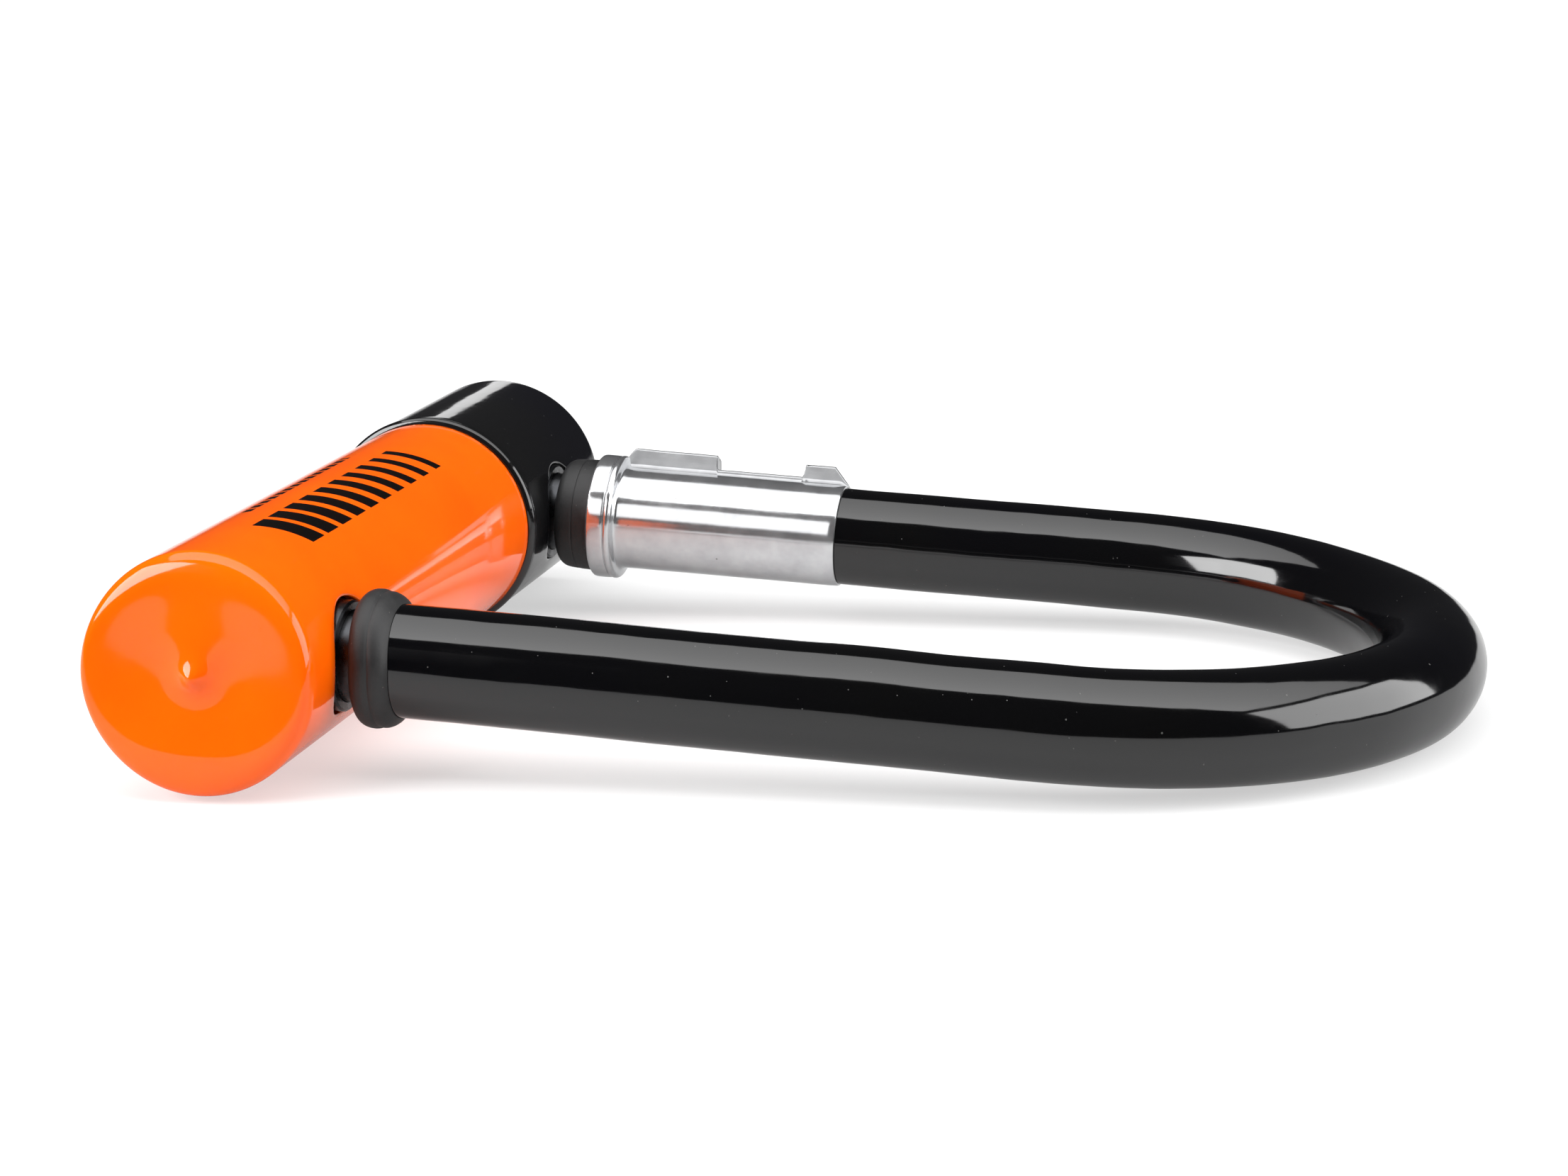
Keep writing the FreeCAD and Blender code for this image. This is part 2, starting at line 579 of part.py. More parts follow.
def carrier_band():
    """One strip of steel wrapped round the leg. Its ends stand out as two leaning lips, which are the rail that the
    frame bracket grips. Its front end is flared into a flange with a rolled bead, which covers the boot's end."""
    start = FLANGE_X[0]
    shoulder = FLANGE_X[1]
    inner = BAND_R - SHEET
    body = turned(
        "x",
        (FLANGE_R - SHEET, start),
        (FLANGE_R - 0.5, start),
        corner(0.5, (FLANGE_R - 0.5, start + 0.5), -90),
        (FLANGE_R, shoulder - 1.3),
        (FLANGE_R - 0.2, shoulder - 1.15),
        ((FLANGE_R + 0.05, shoulder - 0.6), (FLANGE_R - 0.8, shoulder)),
        ((BAND_R + 0.2, shoulder + 0.25), (BAND_R, shoulder + 0.9)),
        (BAND_R, BAND_END_X - 0.3),
        (BAND_R - 0.3, BAND_END_X),
        (inner, BAND_END_X),
        (inner, shoulder - 0.2),
        ((inner + 0.25, shoulder - 0.55), (inner + 0.8, shoulder - 0.75)),
        (FLANGE_R - SHEET, shoulder - 0.85),
    )
    lips = Part.Face(rail_side()).extrude(V(0, 2 * SHEET, 0))
    lips.translate(V(0, -SHEET, 0))
    top = [e for e in lips.Edges if e.Length > 3 and e.CenterOfMass.z > LIP_Z + 0.5 and abs(e.CenterOfMass.y) > 1]
    lips = lips.makeFillet(0.4, top)
    seam = block((start - 1, RAIL_TOE_X + 1), both(0.06), (inner - 1, FRONT_TAB[2] + 1))
    for standing in (lips, seam):
        standing.rotate(V(0, 0, 0), DIRECTIONS["x"], -LIP_LEAN)
    band = body.fuse(lips).cut(rod("x", inner, (start + 1, BAND_END_X + 0.001))).cut(seam)
    return moved(band, 0, LEG_Y)


# ---- the assembly ----------------------------------------------------------------------------------------------
PIECES = {
    "crossbar_tube": crossbar_tube,
    "crossbar_sleeve": crossbar_sleeve,
    "lock_end_sleeve": lock_end_sleeve,
    "end_plug": end_plug,
    "foot_collars": foot_collars,
    "near_foot_block": near_foot_block,
    "far_foot_block": far_foot_block,
    "bolt_guide": bolt_guide,
    "roll_pins": roll_pins,
    "housing_pin": housing_pin,
    "face_plate": face_plate,
    "dust_cover_track": dust_cover_track,
    "dust_cover": dust_cover,
    "cylinder_housing": cylinder_housing,
    "lock_core": core,
    "core_clip": core_clip,
    "code_discs": code_discs,
    "disc_spacers": disc_spacers,
    "sidebar": sidebar,
    "drill_guard_disc": drill_guard_disc,
    "drive_drum": drive_drum,
    "drum_pin": drum_pin,
    "far_bolt": far_bolt,
    "far_follower_pin": lambda: follower(FAR_PIN_Y),
    "near_bolt": near_bolt,
    "near_follower_pin": lambda: follower(NEAR_PIN_Y),
    "shackle": shackle,
    "shackle_cover": shackle_cover,
    "near_boot": near_boot,
    "far_boot": far_boot,
    "carrier_band": carrier_band,
}


def main():
    os.makedirs("parts", exist_ok=True)
    for name, make in PIECES.items():
        shape = make()
        if not shape.isValid() or not shape.Solids:
            raise RuntimeError(f"{name} is not a valid solid")
        shape.exportStep(os.path.join("parts", name + ".step"))


main()
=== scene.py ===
"""Looks for the short bicycle U lock: dipped vinyl sleeves, covered shackle, rubber boots and the zinc-plated
carrier band, in a softbox studio. Lengths are in metres; MM turns millimetres into metres."""

import json
import math

import bmesh
import bpy
import numpy as np
from mathutils import Matrix, Vector, noise

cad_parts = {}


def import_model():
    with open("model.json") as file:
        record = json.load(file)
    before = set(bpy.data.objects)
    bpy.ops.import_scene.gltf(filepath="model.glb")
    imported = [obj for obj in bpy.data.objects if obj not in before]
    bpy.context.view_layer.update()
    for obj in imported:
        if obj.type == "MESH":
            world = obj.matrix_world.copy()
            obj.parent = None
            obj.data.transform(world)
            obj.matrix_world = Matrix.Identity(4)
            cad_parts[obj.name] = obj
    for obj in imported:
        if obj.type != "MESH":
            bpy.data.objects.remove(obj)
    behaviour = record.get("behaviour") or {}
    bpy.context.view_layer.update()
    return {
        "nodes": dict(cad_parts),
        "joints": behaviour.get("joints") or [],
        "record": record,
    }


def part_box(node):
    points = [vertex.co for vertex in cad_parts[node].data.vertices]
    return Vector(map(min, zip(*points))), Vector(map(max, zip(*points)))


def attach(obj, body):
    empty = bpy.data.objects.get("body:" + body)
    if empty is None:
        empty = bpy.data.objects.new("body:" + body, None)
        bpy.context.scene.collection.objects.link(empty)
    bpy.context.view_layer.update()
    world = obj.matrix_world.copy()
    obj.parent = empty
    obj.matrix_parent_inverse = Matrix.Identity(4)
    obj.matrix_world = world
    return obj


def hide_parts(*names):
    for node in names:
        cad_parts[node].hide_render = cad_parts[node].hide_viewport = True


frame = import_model()

MM = 0.001
SCENE = bpy.context.scene

# ---- places and sizes taken from the frame -------------------------------------------------------
SLEEVE_LOW, SLEEVE_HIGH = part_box("crossbar_sleeve")
LOCK_LOW, LOCK_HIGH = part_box("lock_end_sleeve")
TUBE_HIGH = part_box("crossbar_tube")[1]
COVER_LOW, COVER_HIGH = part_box("shackle_cover")
STEEL_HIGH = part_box("shackle")[1]
NEAR_LOW, NEAR_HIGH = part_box("near_boot")
FAR_LOW, FAR_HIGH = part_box("far_boot")
BAND_LOW, BAND_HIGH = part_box("carrier_band")
SLIDER_LOW, SLIDER_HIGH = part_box("dust_cover")

COVER_R = COVER_HIGH.z
STEEL_R = STEEL_HIGH.z
LEG_Y = COVER_HIGH.y - COVER_R
BEND_X = COVER_HIGH.x - COVER_R - LEG_Y
SLEEVE_R = SLEEVE_HIGH.z
LOCK_R = LOCK_HIGH.z - 0.2 * MM  # the barrel, which its bead stands 0.2 mm above
BORE_R = TUBE_HIGH.z + 0.05 * MM
OPENING_R = 8.3 * MM
LOCK_OPENING_R = 8.0 * MM
FLANGE_R = BAND_HIGH.y - LEG_Y
BAND_END = BAND_LOW.x + 41.9 * MM  # end of the band's wrap; the rail's toe runs on past it


# ---- mesh helpers --------------------------------------------------------------------------------
class Surface:
    """Points and faces of one piece, gathered ring by ring. A ring is a list of point numbers."""

    def __init__(self):
        self.points = []
        self.faces = []

    def ring(self, points):
        start = len(self.points)
        self.points.extend(tuple(p) for p in points)
        return list(range(start, len(self.points)))

    def join(self, a, b, skip=()):
        """Quads between two closed rings, leaving out the columns in skip."""
        count = len(a)
        for i in range(count):
            if i not in skip:
                j = (i + 1) % count
                self.faces.append((a[i], a[j], b[j], b[i]))

    def chain(self, rings, closed=False):
        for a, b in zip(rings, rings[1:]):
            self.join(a, b)
        if closed:
            self.join(rings[-1], rings[0])

    def close(self, ring, point):
        """A fan from a ring to one point."""
        tip = self.ring([point])[0]
        for i, here in enumerate(ring):
            self.faces.append((here, ring[(i + 1) % len(ring)], tip))


def add_piece(name, surface, material, body, stands_for=(), crease_deg=35.0):
    """Turn a surface into a smooth-shaded object that rides on a body."""
    mesh = bpy.data.meshes.new(name)
    mesh.from_pydata(surface.points, [], surface.faces)
    work = bmesh.new()
    work.from_mesh(mesh)
    bmesh.ops.recalc_face_normals(work, faces=work.faces)
    work.to_mesh(mesh)
    work.free()
    mesh.polygons.foreach_set("use_smooth", [True] * len(mesh.polygons))
    mesh.set_sharp_from_angle(angle=math.radians(crease_deg))
    mesh.materials.append(material)
    piece = bpy.data.objects.new(name, mesh)
    SCENE.collection.objects.link(piece)
    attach(piece, body)
    if stands_for:
        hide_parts(*stands_for)
    return piece


def wobble(point, size, height, seed=0.0):
    """Smooth noise of about that height, with lumps of about that size, at a point."""
    place = Vector(point) / size + Vector((seed, 2 * seed, 3 * seed))
    return height * noise.noise(place)


def smooth_profile(points, steps):
    """A Catmull-Rom curve through (distance, radius) points, as a list of such points."""
    ends = [points[0]] + list(points) + [points[-1]]
    curve = []
    for a, b, c, d in zip(ends, ends[1:], ends[2:], ends[3:]):
        for i in range(steps):
            t = i / steps
            weights = (
                (-t + 2 * t**2 - t**3) / 2,
                (2 - 5 * t**2 + 3 * t**3) / 2,
                (t + 4 * t**2 - 3 * t**3) / 2,
                (t**3 - t**2) / 2,
            )
            curve.append(tuple(sum(w * p[k] for w, p in zip(weights, (a, b, c, d))) for k in (0, 1)))
    return curve + [points[-1]]


def turn(count):
    """Angles evenly round a circle."""
    return [2 * math.pi * i / count for i in range(count)]


def ease(t):
    """A smooth step from 0 to 1, held outside that range."""
    t = min(max(t, 0.0), 1.0)
    return t * t * (3 - 2 * t)


# ---- crossbar sleeves ----------------------------------------------------------------------------
COLUMNS = 192
PATCH_COLUMNS = 22  # columns on each side of the opening's middle
PATCH_ROWS = 32
PATCH_HALF = 11.5 * MM  # along the crossbar
OUTER_STEP, INNER_STEP = 0.8 * MM, 4 * MM  # between rows along a barrel
LIP = 0.55 * MM  # radius of the foot openings' rounded edge


def round_ring(surface, radius, y, shape=None):
    """A ring about the crossbar's axis. shape, if given, moves each point."""
    points = [(radius * math.cos(a), y, radius * math.sin(a)) for a in turn(COLUMNS)]
    return surface.ring([shape(p) for p in points] if shape else points)


def barrel_rows(start, end, leg_y, step):
    """Row positions along a barrel, with an even patch of rows round the foot opening."""
    low, high = leg_y - PATCH_HALF, leg_y + PATCH_HALF
    before = np.linspace(start, low, max(2, round(abs(low - start) / step) + 1))[:-1]
    after = np.linspace(high, end, max(2, round(abs(end - high) / step) + 1))[1:]
    return list(before), list(np.linspace(low, high, PATCH_ROWS + 1)), list(after)


def patch_edge(rings):
    """The point numbers round a patch of rings, in order."""
    k, last = PATCH_COLUMNS, len(rings) - 1
    bottom = [rings[0][c] for c in range(-k, k)]
    right = [rings[j][k] for j in range(last)]
    top = [rings[last][c] for c in range(k, -k, -1)]
    left = [rings[j][-k] for j in range(last, 0, -1)]
    return bottom + right + top + left


def opening_ring(surface, edge, leg_y, radius_at, barrel_r, depth=0.0):
    """A ring of points inside a patch. radius_at gives each one's distance from the leg's axis."""
    points = []
    for index in edge:
        _, y, z = surface.points[index]
        reach = math.hypot(z, y - leg_y)
        radius = radius_at(reach)
        new_z, new_y = z / reach * radius, (y - leg_y) / reach * radius
        points.append((math.sqrt(barrel_r**2 - new_z**2) - depth, leg_y + new_y, new_z))
    return surface.ring(points)


def foot_opening(surface, outer_rings, inner_rings, leg_y, outer_r, hole_r):
    """Round lipped opening through both skins of a sleeve, round one leg's axis."""
    rim = hole_r + LIP
    outer_edge, inner_edge = patch_edge(outer_rings), patch_edge(inner_rings)

    def part_way(share, target):
        return lambda reach: reach + (target - reach) * share

    rings = [outer_edge]
    for share in (0.3, 0.55, 0.75, 0.9, 1.0):
        rings.append(opening_ring(surface, outer_edge, leg_y, part_way(share, rim), outer_r))
    for degrees in range(15, 91, 15):
        a = math.radians(degrees)
        radius, depth = hole_r + LIP * (1 - math.sin(a)), LIP * (1 - math.cos(a))
        rings.append(opening_ring(surface, outer_edge, leg_y, lambda _, r=radius: r, outer_r, depth))
    for share in (1.0, 0.6, 0.3):
        rings.append(opening_ring(surface, inner_edge, leg_y, part_way(share, hole_r), BORE_R))
    surface.chain(rings + [inner_edge])


def join_barrel(surface, before, patch, after):
    """Join rings along a barrel and leave the opening's patch out."""
    k = PATCH_COLUMNS
    hole = set(range(k)) | set(range(COLUMNS - k, COLUMNS))
    surface.chain(before + [patch[0]])
    for a, b in zip(patch, patch[1:]):
        surface.join(a, b, skip=hole)
    surface.chain([patch[-1]] + after)


CREST_Y = SLEEVE_LOW.y + 1.2 * MM  # the closed end's plane, where its dish meets its rounded rim
CREST_SIDE, CREST_TOP, CREST_FOOT = 15.5 * MM, 13.0 * MM, 11.0 * MM  # how far that crest is from the axis
CAP_DISH = 0.8 * MM
CAP_DROP = 2.6 * MM  # from the crest's plane back to the barrel
CAP_RIM_POWER = 2.4  # 2 would be a round rim; more is squarer
CAP_WALL = 1.8 * MM
CAP_TILT = math.tan(math.radians(5.2))
DRIP_HEIGHT, DRIP_R = 0.9 * MM, 1.5 * MM
MOUND_HEIGHT, MOUND_Z, MOUND_ABOVE, MOUND_BELOW = 1.1 * MM, 0.5 * MM, 9.0 * MM, 3.0 * MM


def crest_radius(c, s):
    """Distance from the axis to the closed end's crest, in the direction (c, s)."""
    upright = CREST_TOP if s > 0 else CREST_FOOT
    return upright + (CREST_SIDE - upright) * c * c


def drip_height(x, z):
    """The drip in the middle of the closed end: a small dome on a mound with a run above it."""
    tip = DRIP_HEIGHT * math.exp(-(x * x + z * z) / DRIP_R**2)
    up = z - MOUND_Z
    wide = (3.0 + 1.6 * ease((z + 1.0 * MM) / (7 * MM))) * MM
    tall = MOUND_ABOVE if up > 0 else MOUND_BELOW
    return tip + MOUND_HEIGHT * math.exp(-((x / wide) ** 2) - (up / tall) ** 2)


def cap_point(angle, share):
    """A point of the closed end. share is 0 at the axis, 1 at the crest and 2 at the start of the barrel."""
    c, s = math.cos(angle), math.sin(angle)
    crest = crest_radius(c, s)
    if share <= 1:
        radius = crest * share
        height = -CAP_DISH * (1 - share**2) ** 1.5
    else:
        out = math.sin(math.pi / 2 * (share - 1))
        radius = crest + (SLEEVE_R - crest) * out
        height = -CAP_DROP * (1 - max(0.0, 1 - out**CAP_RIM_POWER) ** (1 / CAP_RIM_POWER))
    x, z = radius * c, radius * s
    return (x, CREST_Y - height - drip_height(x, z), z)


def cap_tilt(point):
    """The dipped end droops: its face leans back at the top, fading out along the barrel."""
    x, y, z = point
    fade = 1 - ease((y - CREST_Y - 0.7 * MM) / (9 * MM))
    return (x, y + CAP_TILT * z * fade, z)


def vinyl_skin(point, outward, height=0.02 * MM, size=11 * MM, seed=3.0):
    """Move a point on a vinyl surface in or out a little, as dipping leaves it uneven."""
    shift = wobble(point, size, height, seed) + wobble(point, size / 4, height / 7, seed + 5)
    return tuple(c + o * shift for c, o in zip(point, outward))


def barrel_shape(point):
    """A point of the barrel, drooped and uneven."""
    x, y, z = cap_tilt(point)
    radius = math.hypot(x, z) or 1.0
    return vinyl_skin((x, y, z), (x / radius, 0, z / radius))


def cap_shape(point):
    """A point of the closed end, drooped and uneven."""
    x, y, z = cap_tilt(point)
    return vinyl_skin((x, y, z), (0, -1, 0))


def cut_edge(point):
    """The sleeve's hand-cut end is a little ragged."""
    return (point[0], point[1] + wobble(point, 1.1 * MM, 0.2 * MM, 6.0), point[2])


def orange_sleeve(material):
    """The dipped sleeve: closed end, barrel with the near foot's opening, cut end and bore."""
    surface = Surface()
    leg = -LEG_Y
    dish, rim = np.linspace(0.012, 1.0, 62), np.linspace(1.03, 2.0, 34)
    shares = list(dish) + list(rim)
    cap_rings = []
    for share in shares:
        shape = barrel_shape if share > 1.7 else cap_shape
        cap_rings.append(surface.ring([shape(cap_point(a, share)) for a in turn(COLUMNS)]))
    barrel_start = CREST_Y + CAP_DROP
    end = SLEEVE_HIGH.y
    before, patch, after = barrel_rows(barrel_start + 0.7 * MM, end - 0.5 * MM, leg, OUTER_STEP)
    before_rings = [round_ring(surface, SLEEVE_R, y, barrel_shape) for y in before]
    patch_rings = [round_ring(surface, SLEEVE_R, y) for y in patch]
    after_rings = [round_ring(surface, SLEEVE_R, y, barrel_shape) for y in after]
    edge = [(SLEEVE_R - 0.06 * MM, end - 0.42 * MM), (SLEEVE_R - 0.3 * MM, end - 0.25 * MM)]
    after_rings += [round_ring(surface, r, y, cut_edge) for r, y in edge]
    after_rings.append(round_ring(surface, BORE_R, end))
    shape_patch(surface, patch_rings)
    join_barrel(surface, cap_rings + before_rings, patch_rings, after_rings)
    inner_end = CREST_Y + CAP_WALL
    before, patch, after = barrel_rows(inner_end, end - 1 * MM, leg, INNER_STEP)
    inner_before = [round_ring(surface, BORE_R, y) for y in before]
    inner_patch = [round_ring(surface, BORE_R, y) for y in patch]
    inner_after = [round_ring(surface, BORE_R, y) for y in after]
    join_barrel(surface, inner_before, inner_patch, inner_after)
    surface.join(inner_after[-1], after_rings[-1])
    surface.close(inner_before[0], (0, inner_end, 0))
    surface.close(cap_rings[0], cap_shape(cap_point(0.0, 0.0)))
    foot_opening(surface, patch_rings, inner_patch, leg, SLEEVE_R, OPENING_R)
    return add_piece("orange_sleeve", surface, material, "crossbar", ["crossbar_sleeve"])


def shape_patch(surface, rings):
    """Give a patch's points the barrel's unevenness, so that they meet their neighbours."""
    for ring in rings:
        for index in ring:
            surface.points[index] = barrel_shape(surface.points[index])


def rounded_window(angle, half_x, half_z, centre_x, power=9.0):
    """A point of a round-cornered rectangle, seen from its centre at an angle."""
    c, s = math.cos(angle), math.sin(angle)
    reach = (abs(c / half_x) ** power + abs(s / half_z) ** power) ** (-1 / power)
    return centre_x + c * reach, s * reach


def lock_sleeve(material):
    """Black moulded sleeve with a rolled bead, an end wall and the dust cover's window."""
    surface = Surface()
    start, end = LOCK_LOW.y, LOCK_HIGH.y
    rim, wall = 2.5 * MM, 1.6 * MM
    travel = joint_travel("dust_cover_slide")
    # the window shows the dust cover through all its travel and overlaps its edges
    window_low, window_high = SLIDER_LOW.x + 0.6 * MM, SLIDER_HIGH.x + travel - 0.8 * MM
    half_x, centre_x = (window_high - window_low) / 2, (window_high + window_low) / 2
    half_z = SLIDER_HIGH.z - 1.3 * MM

    def wall_ring(share, y, outer_r):
        """A ring in the end wall. share is 0 at the window's edge and 1 at outer_r."""
        points = []
        for a in turn(COLUMNS):
            x, z = rounded_window(a, half_x, half_z, centre_x)
            out_x, out_z = outer_r * math.cos(a) - x, outer_r * math.sin(a) - z
            points.append((x + out_x * share, y, z + out_z * share))
        return surface.ring(points)

    bead_mm = [(-0.8, 0.0), (-0.35, 0.07), (-0.02, 0.3), (0.16, 0.6), (0.2, 0.9), (0.15, 1.2), (0.0, 1.45)]
    bead_mm += [(-0.13, 1.6), (-0.14, 1.75), (-0.04, 1.95), (0.0, 2.2)]
    bead = [(LOCK_R + r * MM, start + y * MM) for r, y in bead_mm]
    before, patch, after = barrel_rows(start + 3 * MM, end - rim, LEG_Y, OUTER_STEP)
    first = [round_ring(surface, r, y) for r, y in bead] + [round_ring(surface, LOCK_R, y) for y in before]
    patch_rings = [round_ring(surface, LOCK_R, y) for y in patch]
    last = [round_ring(surface, LOCK_R, y) for y in after]
    for degrees in range(10, 91, 10):
        a = math.radians(degrees)
        last.append(round_ring(surface, LOCK_R - rim * (1 - math.cos(a)), end - rim * (1 - math.sin(a))))
    flat_r = LOCK_R - rim
    last += [wall_ring(share, end, flat_r) for share in (0.8, 0.6, 0.4, 0.2, 0.08)]
    lip = 0.3 * MM
    for a in (0.4, 0.8, 1.2, 1.57):
        last.append(wall_ring(0.03 * (1 - math.sin(a)), end - lip * (1 - math.cos(a)), flat_r))
    last += [wall_ring(share, end - wall, BORE_R) for share in (0.0, 0.5, 1.0)]
    join_barrel(surface, first, patch_rings, last)
    inner_before, inner_patch, inner_after = barrel_rows(start, end - wall - 0.5 * MM, LEG_Y, INNER_STEP)
    inner_first = [round_ring(surface, BORE_R, y) for y in inner_before]
    inner_rings = [round_ring(surface, BORE_R, y) for y in inner_patch]
    inner_last = [round_ring(surface, BORE_R, y) for y in inner_after]
    join_barrel(surface, inner_first, inner_rings, inner_last)
    surface.join(inner_first[0], first[0])
    surface.join(inner_last[-1], last[-1])
    foot_opening(surface, patch_rings, inner_rings, LEG_Y, LOCK_R, LOCK_OPENING_R)
    return add_piece("lock_sleeve", surface, material, "crossbar", ["lock_end_sleeve"])


def joint_travel(name):
    """How far a sliding joint goes."""
    joint = next(j for j in frame["joints"] if j["name"] == name)
    return joint["range_m"][1]


# ---- shackle -------------------------------------------------------------------------------------
def shackle_path(start_near, start_far, step):
    """Points and sideways directions along the U, from the near leg round the bend to the far leg."""
    path = []
    near_steps = round((BEND_X - start_near) / step)
    for i in range(near_steps):
        path.append(((start_near + i * (BEND_X - start_near) / near_steps, -LEG_Y), (0.0, -1.0)))
    bend_steps = round(math.pi * LEG_Y / step)
    for i in range(bend_steps + 1):
        a = math.pi * i / bend_steps - math.pi / 2
        path.append(((BEND_X + LEG_Y * math.cos(a), LEG_Y * math.sin(a)), (math.cos(a), math.sin(a))))
    far_steps = round((BEND_X - start_far) / step)
    for i in range(1, far_steps + 1):
        path.append(((BEND_X - i * (BEND_X - start_far) / far_steps, LEG_Y), (0.0, 1.0)))
    return path


def tube_ring(surface, centre, side, radius, count, height=0.0):
    """A ring round the U's path. height is that of the vinyl's waves."""
    points = []
    for a in turn(count):
        out = (side[0] * math.cos(a), side[1] * math.cos(a), math.sin(a))
        point = (centre[0] + radius * out[0], centre[1] + radius * out[1], radius * out[2])
        if height:
            point = vinyl_skin(point, out, height, 15 * MM, 7.0)
        points.append(point)
    return surface.ring(points)


def vinyl_cover(material):
    """Tight vinyl tube over the bar, with the slight unevenness that shrinks onto the steel."""
    surface = Surface()
    count = 80
    path = shackle_path(COVER_LOW.x, BAND_END + 0.1 * MM, 0.9 * MM)
    outer = [tube_ring(surface, c, s, COVER_R, count, 0.15 * MM) for c, s in path]
    inner = [tube_ring(surface, c, s, STEEL_R + 0.05 * MM, count) for c, s in path[::12] + [path[-1]]]
    surface.chain(outer)
    surface.chain(inner)
    surface.join(outer[0], inner[0])
    surface.join(outer[-1], inner[-1])
    return add_piece("vinyl_cover", surface, material, "shackle_body", ["shackle_cover"])


def leg_lathe(surface, profile, leg_y, count, lump_height=0.0, lump_size=4 * MM, seed=1.0):
    """Rings about one leg's axis from (x, radius) points."""
    rings = []
    for x, radius in profile:
        points = []
        for a in turn(count):
            out = (0.0, math.cos(a), math.sin(a))
            point = (x, leg_y + radius * out[1], radius * out[2])
            shift = wobble(point, lump_size, lump_height, seed) if lump_height else 0.0
            points.append(tuple(c + o * shift for c, o in zip(point, out)))
        rings.append(surface.ring(points))
    return rings


def rubber_boot(name, node, leg_y, outline_mm, bore_mm, material, seed, slant=0.0):
    """A boot turned from an outline and closed by its bore, both (x, radius) points in millimetres. slant
    pushes its upper half towards the crossbar."""
    surface = Surface()
    curve = [(x * MM, r * MM) for x, r in smooth_profile(outline_mm, 6)]
    outer = leg_lathe(surface, curve, leg_y, 144, 0.05 * MM, 3.5 * MM, seed)
    inner = leg_lathe(surface, [(x * MM, r * MM) for x, r in bore_mm], leg_y, 144)
    radius = max(r for _, r in curve)
    for index, (x, y, z) in enumerate(surface.points):
        surface.points[index] = (x - slant * ease(z / radius), y, z)
    surface.chain(outer + inner, closed=True)
    return add_piece(name, surface, material, "shackle_body", [node], crease_deg=50)


def near_boot(material):
    start, end = NEAR_LOW.x / MM, NEAR_HIGH.x / MM - 0.4
    steel, cover = STEEL_R / MM + 0.05, COVER_R / MM + 0.02
    shape = [(0.03, 7.9), (0.25, 8.75), (0.7, 9.35), (1.4, 9.72), (2.2, 9.82), (2.75, 9.74), (3.05, 9.6)]
    shape += [(3.2, 9.54), (3.4, 9.58), (3.9, 9.55), (4.5, 9.33), (5.05, 8.95), (5.45, 8.5)]
    outline = [(start, steel + 0.5)] + [(start + x, r) for x, r in shape] + [(end, cover + 0.1)]
    bore = [(end, cover), (start + 1.4, cover), (start + 1.4, steel), (start, steel)]
    return rubber_boot("near_rubber_boot", "near_boot", -LEG_Y, outline, bore, material, 2.0, 0.85 * MM)


def far_boot(material):
    start, end = FAR_LOW.x / MM, FAR_HIGH.x / MM
    steel = STEEL_R / MM + 0.05
    shape = [(0.05, 7.7), (0.3, 8.4), (0.9, 8.9), (1.7, 9.12), (3.1, 9.22), (3.35, 9.1), (3.5, 9.24)]
    shape += [(5.2, 9.3), (6.1, 9.3), (6.25, 8.25)]
    outline = [(start, steel + 0.4)] + [(start + x, r) for x, r in shape] + [(end, 8.2)]
    bore = [(end, steel), (start, steel)]
    return rubber_boot("far_rubber_boot", "far_boot", LEG_Y, outline, bore, material, 5.0)


def band_outline():
    """(x, radius) in millimetres: flared flange with its rolled bead, then the plain wrap round the leg."""
    start, end, flange = BAND_LOW.x / MM, BAND_END / MM, FLANGE_R / MM
    shape = [(0, -1.1), (0, -0.5), (0.15, -0.15), (0.5, 0), (1.6, 0.02), (2.75, -0.02), (3.0, -0.2)]
    shape += [(3.22, -0.02), (3.55, 0.03), (3.9, -0.1), (4.15, -0.45), (4.28, -0.95), (4.4, -1.4)]
    shape += [(4.62, -1.68), (5.1, -1.8), (6.5, -1.84)]
    flare = smooth_profile([(start + x, flange + r) for x, r in shape], 5)
    wrap_r = flare[-1][1]
    taper = 0.06 / 40
    wrap = [(x, wrap_r - taper * (x - start)) for x in np.arange(start + 7.5, end - 0.5, 1.0)]
    return flare + wrap + [(end - 0.3, wrap_r - 0.1), (end - 0.08, wrap_r - 0.2), (end, wrap_r - 0.38)]


def carrier_band(material):
    """The band's wrap and flange, turned round the leg."""
    surface = Surface()
    curve = [(x * MM, r * MM) for x, r in band_outline()]
    inner_r, mouth_r = STEEL_R + 0.12 * MM, FLANGE_R - 1.75 * MM
    step_x, step_r = BAND_LOW.x + 3.4 * MM, 8.3 * MM
    count = 168
    outer = leg_lathe(surface, curve, LEG_Y, count, 0.03 * MM, 6 * MM, 4.0)
    bore = [(BAND_END, inner_r), (step_x + 0.1 * MM, inner_r), (step_x, step_r), (BAND_LOW.x, mouth_r)]
    inner = leg_lathe(surface, bore, LEG_Y, count)
    surface.chain(outer + inner, closed=True)
    return add_piece("band_shell", surface, material, "shackle_body", ["carrier_band"])


